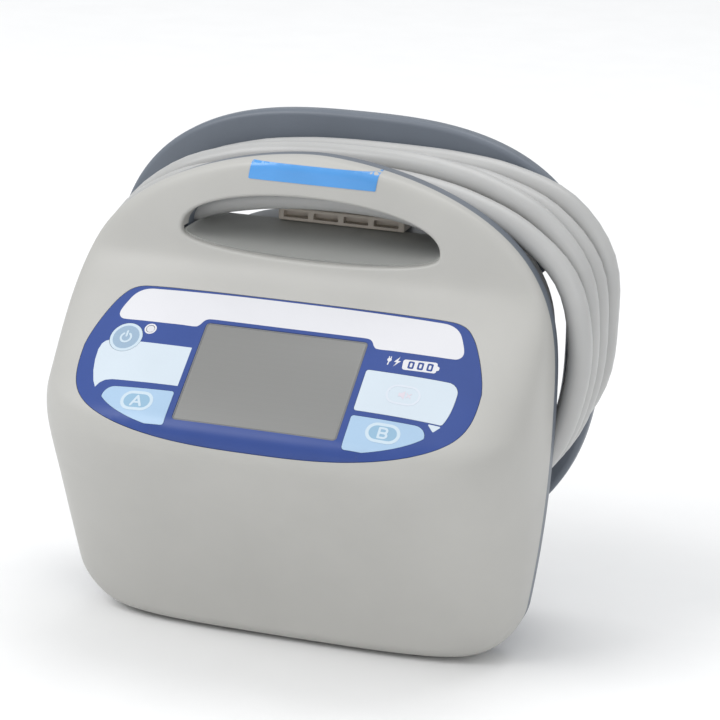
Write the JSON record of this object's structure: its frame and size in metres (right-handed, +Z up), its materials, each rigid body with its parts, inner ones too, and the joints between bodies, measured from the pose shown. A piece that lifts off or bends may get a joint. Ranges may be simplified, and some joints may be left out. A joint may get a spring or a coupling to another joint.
{
  "type": "compression therapy pump",
  "caption": "Bedside compression therapy pump: sloped panel with screen and keys, carry handle, wound air hose on a rear reel, guard ring and bed hook.",
  "frame": {"origin": "middle of the housing's footprint, on the surface that the feet stand on", "axes": "+Z up, -Y out of the front, where the panel faces, +X to the right seen from the front"},
  "size_m": [0.1942, 0.1144, 0.1797],
  "materials": {
    "cover": "fine matt texture",
    "tray": "fine matt texture",
    "housing": "fine matt texture",
    "overlay": "printed satin film",
    "screen": "clear satin window over a grey display",
    "steel": "plain",
    "board": "solder mask",
    "light": "milky light pipe",
    "pale_key": "printed satin film",
    "blue_key": "printed satin film",
    "black_plastic": "plain",
    "battery": "shrink sleeve",
    "supply": "board and coils",
    "brass": "turned",
    "rubber": "plain",
    "white_plastic": "plain",
    "silicone": "translucent",
    "hose": "smooth, slightly glossy",
    "beige": "plain"
  },
  "bodies": {
    "casing": {"front_cover": "cover", "handle_tray": "tray", "rear_housing": "housing", "rear_guard": "housing", "control_overlay": "overlay", "lcd_window": "screen", "lcd_module": "steel", "display_board": "board", "status_light": "light", "key_switches": "black_plastic", "main_board": "board", "battery_pack": "battery", "power_supply": "supply", "mains_inlet": "black_plastic", "pump_body": "steel", "valve_block": "white_plastic", "fan_frame": "black_plastic", "port_block": "black_plastic", "air_tubes": "silicone", "hook_pin": "steel", "hook_springs": "steel", "feet": "rubber", "housing_screws": "steel", "guard_screws": "steel", "hose": "hose", "hose_plug": "beige", "sleeve_connector": "beige"},
    "bed_hook": {"bed_hook": "housing", "hook_pads": "rubber"},
    "power_key": {"power_key": "pale_key"},
    "mute_key": {"mute_key": "pale_key"},
    "key_a": {"key_a": "blue_key"},
    "key_b": {"key_b": "blue_key"},
    "pump_rotor": {"pump_rotor": "brass"},
    "left_diaphragm": {"left_diaphragm": "rubber"},
    "right_diaphragm": {"right_diaphragm": "rubber"},
    "fan_rotor": {"fan_rotor": "black_plastic"},
    "vent_plunger": {"vent_plunger": "steel"},
    "plunger_a": {"plunger_a": "steel"},
    "plunger_b": {"plunger_b": "steel"}
  },
  "joints": [
    {"name": "bed_hook_swing", "type": "hinge", "parent": "casing", "child": "bed_hook", "pos_m": [0, 0.05257, 0.1292], "axis": [1, 0, 0], "range_deg": [0, 40], "stiffness_Nm_per_rad": 0.25, "springref_deg": -14.32, "deforming": ["hook_springs"]},
    {"name": "power_key_press", "type": "slide", "parent": "casing", "child": "power_key", "axis": [0, 0.6101, -0.7923], "range_m": [0, 0.0005], "stiffness_N_per_m": 1500, "springref_m": -0.0006},
    {"name": "mute_key_press", "type": "slide", "parent": "casing", "child": "mute_key", "axis": [0, 0.6101, -0.7923], "range_m": [0, 0.0005], "stiffness_N_per_m": 1500, "springref_m": -0.0006},
    {"name": "key_a_press", "type": "slide", "parent": "casing", "child": "key_a", "axis": [0, 0.6101, -0.7923], "range_m": [0, 0.0005], "stiffness_N_per_m": 1500, "springref_m": -0.0006},
    {"name": "key_b_press", "type": "slide", "parent": "casing", "child": "key_b", "axis": [0, 0.6101, -0.7923], "range_m": [0, 0.0005], "stiffness_N_per_m": 1500, "springref_m": -0.0006},
    {"name": "pump_rotor_spin", "type": "hinge", "parent": "casing", "child": "pump_rotor", "pos_m": [-0.026, 0.02317, 0.0992], "axis": [0, 1, 0], "continuous": true},
    {"name": "left_diaphragm_stroke", "type": "slide", "parent": "casing", "child": "left_diaphragm", "axis": [1, 0, 0], "range_m": [-0.0015, 0.0015], "stiffness_N_per_m": 300},
    {"name": "right_diaphragm_stroke", "type": "slide", "parent": "casing", "child": "right_diaphragm", "axis": [1, 0, 0], "range_m": [-0.0015, 0.0015], "stiffness_N_per_m": 300},
    {"name": "fan_rotor_spin", "type": "hinge", "parent": "casing", "child": "fan_rotor", "pos_m": [0.03, 0.03916, 0.1012], "axis": [0, 1, 0], "continuous": true},
    {"name": "vent_plunger_lift", "type": "slide", "parent": "casing", "child": "vent_plunger", "axis": [0, 0, 1], "range_m": [0, 0.0012], "stiffness_N_per_m": 400, "springref_m": -0.0012},
    {"name": "plunger_a_lift", "type": "slide", "parent": "casing", "child": "plunger_a", "axis": [0, 0, 1], "range_m": [0, 0.0012], "stiffness_N_per_m": 400, "springref_m": -0.0012},
    {"name": "plunger_b_lift", "type": "slide", "parent": "casing", "child": "plunger_b", "axis": [0, 0, 1], "range_m": [0, 0.0012], "stiffness_N_per_m": 400, "springref_m": -0.0012}
  ]
}
